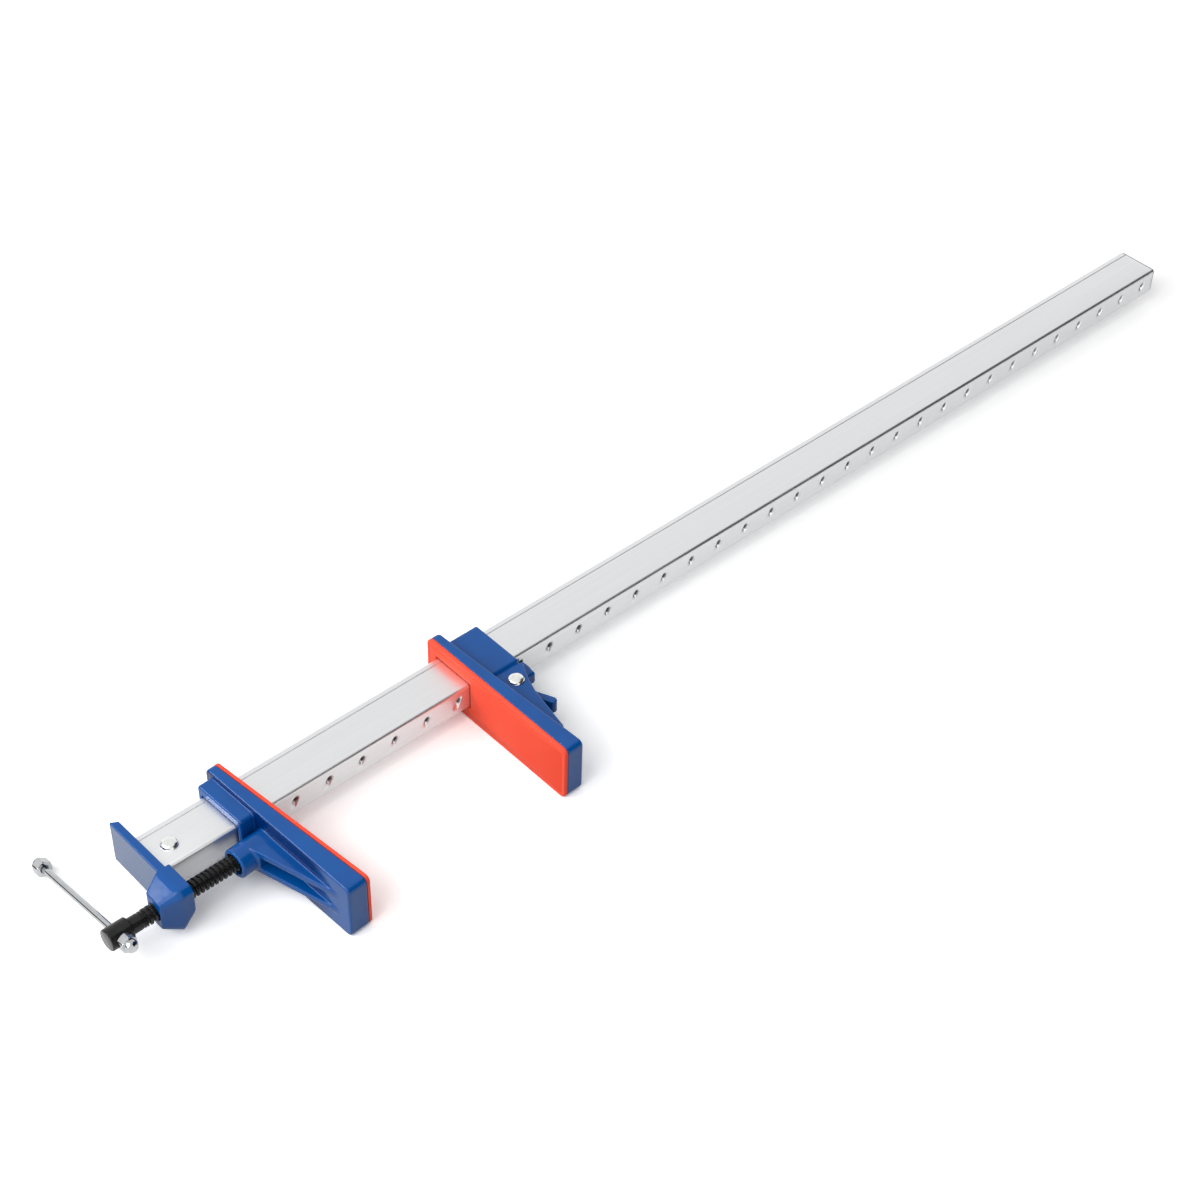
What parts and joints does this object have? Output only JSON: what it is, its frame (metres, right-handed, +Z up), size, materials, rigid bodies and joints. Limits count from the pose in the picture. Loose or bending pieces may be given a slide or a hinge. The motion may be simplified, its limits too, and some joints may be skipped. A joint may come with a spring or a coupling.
{
  "type": "parallel clamp",
  "caption": "Long parallel clamp: padded jaws square to a notched hollow bar, one pushed by a screw with a sliding cross handle, the other sliding freely with a sprung latch.",
  "frame": {"origin": "on the surface the clamp lies on, under the middle of its whole box at rest", "axes": "+X along the bar from the screw's end to the plain end, +Y from the jaws' working side across the bar, +Z up"},
  "size_m": [0.9556, 0.1628, 0.041],
  "materials": {
    "blue_enamel": "glossy blue enamel over a cast body",
    "pad_plastic": "moulded plastic, satin",
    "mill_aluminium": "extruded, mill finish",
    "zinc_steel": "bright zinc plate",
    "black_steel": "black oxide, oiled",
    "chrome_plate": "polished plate",
    "spring_steel": "drawn spring wire and stamped ring"
  },
  "bodies": {
    "frame": {"bar_tube": "mill_aluminium", "fixed_head": "blue_enamel", "head_rivet": "zinc_steel"},
    "screw_seat": {"thrust_washer": "zinc_steel"},
    "screw": {"clamp_screw": "black_steel", "nose_retaining_ring": "spring_steel"},
    "handle": {"handle_rod": "chrome_plate", "handle_nut_far": "chrome_plate", "handle_nut_near": "chrome_plate"},
    "front_jaw_body": {"front_jaw": "blue_enamel", "front_jaw_pad": "pad_plastic"},
    "sliding_jaw_body": {"sliding_jaw": "blue_enamel", "sliding_jaw_pad": "pad_plastic", "latch_pin": "zinc_steel", "latch_spring": "spring_steel"},
    "latch": {"latch_lever": "blue_enamel"}
  },
  "joints": [
    {"name": "jaw_feed", "type": "slide", "parent": "frame", "child": "screw_seat", "axis": [1, 0, 0], "range_m": [-0.03, 0.016]},
    {"name": "screw_turn", "type": "hinge", "parent": "screw_seat", "child": "screw", "pos_m": [-0.4282, -0.00679, 0.0205], "axis": [1, 0, 0], "range_deg": [-3396, 1812]},
    {"name": "handle_slide", "type": "slide", "parent": "screw", "child": "handle", "axis": [0, -0.9854, 0.1702], "range_m": [0, 0.0719]},
    {"name": "front_jaw_rock", "type": "hinge", "parent": "screw_seat", "child": "front_jaw_body", "pos_m": [-0.3654, -0.00679, 0.0205], "axis": [0, 0, 1], "range_deg": [-5, 0]},
    {"name": "sliding_jaw_travel", "type": "slide", "parent": "frame", "child": "sliding_jaw_body", "axis": [1, 0, 0], "range_m": [-0.125, 0.625]},
    {"name": "latch_swing", "type": "hinge", "parent": "sliding_jaw_body", "child": "latch", "pos_m": [-0.1778, -0.00889, 0.0205], "axis": [0, 0, -1], "range_deg": [0, 14], "stiffness_Nm_per_rad": 0.3, "springref_deg": -11.46, "deforming": ["latch_spring"]}
  ],
  "couplings": [
    {"joint": "jaw_feed", "follows": "screw_turn", "m_per_rad": 0.00050532}
  ]
}
